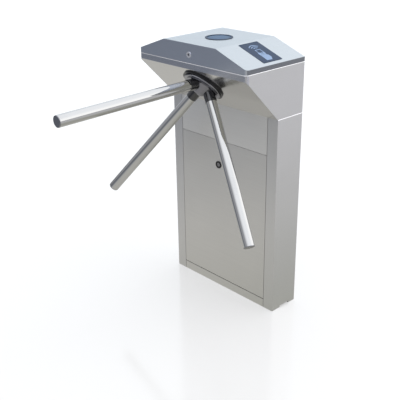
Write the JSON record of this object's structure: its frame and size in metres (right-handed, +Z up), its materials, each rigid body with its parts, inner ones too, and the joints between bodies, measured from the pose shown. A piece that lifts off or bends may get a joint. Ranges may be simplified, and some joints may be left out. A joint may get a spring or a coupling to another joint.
{
  "type": "tripod turnstile",
  "caption": "Waist-high tripod turnstile that counts visitors: slim steel cabinet, overhanging head with a hinged lid, card reader and lamp, and a sloping hub with arms.",
  "frame": {"origin": "on the floor, in the middle of the four anchor holes in the base plate", "axes": "+Z up; -Y is the passage side, where the arms are; +X is to the right along the front, seen from the passage"},
  "size_m": [0.747, 0.8101, 0.9815],
  "materials": {
    "cabinet_steel": "satin",
    "lid_steel": "satin",
    "arm_chrome": "polished",
    "hub_dark": "polished",
    "disc_bright": "polished",
    "black_gloss": "gloss",
    "lens_blue": "gloss",
    "bezel_navy": "gloss",
    "reader_navy": "gloss",
    "black_matte": "matte",
    "mech_aluminium": "satin",
    "machined_steel": "satin",
    "zinc_steel": "satin",
    "base_paint": "satin",
    "gear_brass": "satin",
    "lock_chrome": "polished",
    "magnet_paint": "satin",
    "board_green": "satin",
    "supply_case": "satin",
    "grommet_rubber": "matte"
  },
  "bodies": {
    "cabinet": {"base_plate": "base_paint", "right_side_panel": "cabinet_steel", "left_side_panel": "cabinet_steel", "back_panel": "cabinet_steel", "back_panel_screws": "zinc_steel", "upper_front_panel": "cabinet_steel", "plinth": "cabinet_steel", "deck_plate": "zinc_steel", "cable_grommet": "grommet_rubber", "head_right_cheek": "cabinet_steel", "head_left_cheek": "cabinet_steel", "head_front_band": "cabinet_steel", "head_back_panel": "cabinet_steel", "head_underside": "cabinet_steel", "lid_hinge_lower_leaves": "zinc_steel", "lid_hinge_pins": "zinc_steel", "control_board": "board_green", "board_standoffs": "zinc_steel", "power_supply": "supply_case", "hub_flange_ring": "black_gloss", "flange_screws": "zinc_steel", "front_mech_plate": "mech_aluminium", "rear_mech_plate": "mech_aluminium", "mech_spacers": "mech_aluminium", "bearing_outer_rings": "machined_steel", "pivot_pins": "machined_steel", "right_lock_magnet": "magnet_paint", "left_lock_magnet": "magnet_paint", "count_sensor": "black_matte"},
    "rotor": {"main_shaft": "machined_steel", "rotor_cover_disc": "disc_bright", "hub_body": "hub_dark", "arm_1": "arm_chrome", "arm_2": "arm_chrome", "arm_3": "arm_chrome", "arm_collars": "black_gloss", "arm_end_plugs": "black_gloss", "lock_wheel": "machined_steel", "main_gear": "machined_steel", "index_star": "machined_steel", "shaft_lock_nut": "zinc_steel", "bearing_inner_rings": "machined_steel"},
    "counter_pinion": {"counter_pinion": "gear_brass"},
    "index_lever": {"index_lever": "machined_steel", "lever_spring": "machined_steel"},
    "index_roller": {"index_roller": "black_matte"},
    "right_pawl": {"right_pawl": "machined_steel"},
    "left_pawl": {"left_pawl": "machined_steel"},
    "lid": {"lid_shell": "lid_steel", "lens_bezel": "bezel_navy", "top_lens": "lens_blue", "light_module": "black_matte", "reader_window": "reader_navy", "reader_module": "black_matte", "lid_hinge_upper_leaves": "zinc_steel", "lid_lock_barrel": "lock_chrome"},
    "lid_lock": {"lid_lock_plug": "lock_chrome"},
    "door": {"door_panel": "cabinet_steel", "door_lock_barrel": "black_gloss"},
    "door_lock": {"door_lock_plug": "lock_chrome"}
  },
  "joints": [
    {"name": "rotor_turn", "type": "hinge", "parent": "cabinet", "child": "rotor", "pos_m": [0, -0.15358, 0.83108], "axis": [0, -0.7071, -0.7071], "continuous": true},
    {"name": "counter_turn", "type": "hinge", "parent": "cabinet", "child": "counter_pinion", "pos_m": [0.08, -0.12812, 0.85653], "axis": [0, -0.7071, -0.7071], "continuous": true},
    {"name": "index_lever_swing", "type": "hinge", "parent": "cabinet", "child": "index_lever", "pos_m": [-0.058, -0.1446, 0.90836], "axis": [0, -0.7071, -0.7071], "range_deg": [-12.5, 0]},
    {"name": "index_roller_turn", "type": "hinge", "parent": "index_lever", "child": "index_roller", "pos_m": [0, -0.15096, 0.902], "axis": [0, -0.7071, -0.7071], "continuous": true},
    {"name": "right_pawl_swing", "type": "hinge", "parent": "cabinet", "child": "right_pawl", "pos_m": [0.06747, -0.11761, 0.82905], "axis": [0, 0.7071, 0.7071], "range_deg": [0, 10]},
    {"name": "left_pawl_swing", "type": "hinge", "parent": "cabinet", "child": "left_pawl", "pos_m": [-0.06747, -0.11761, 0.82905], "axis": [0, -0.7071, -0.7071], "range_deg": [0, 10]},
    {"name": "lid_lift", "type": "hinge", "parent": "cabinet", "child": "lid", "pos_m": [0, 0.0665, 0.915], "axis": [-1, 0, 0], "range_deg": [0, 95]},
    {"name": "lid_lock_turn", "type": "hinge", "parent": "lid", "child": "lid_lock", "pos_m": [0, -0.2175, 0.943], "axis": [0, -1, 0], "range_deg": [-90, 0]},
    {"name": "door_tilt", "type": "hinge", "parent": "cabinet", "child": "door", "pos_m": [0, -0.0605, 0.03675], "axis": [1, 0, 0], "range_deg": [0, 5]},
    {"name": "door_lock_turn", "type": "hinge", "parent": "door", "child": "door_lock", "pos_m": [-0.02, -0.0625, 0.5095], "axis": [0, 1, 0], "range_deg": [-90, 0]}
  ],
  "couplings": [
    {"joint": "counter_turn", "follows": "rotor_turn", "ratio": -3}
  ]
}
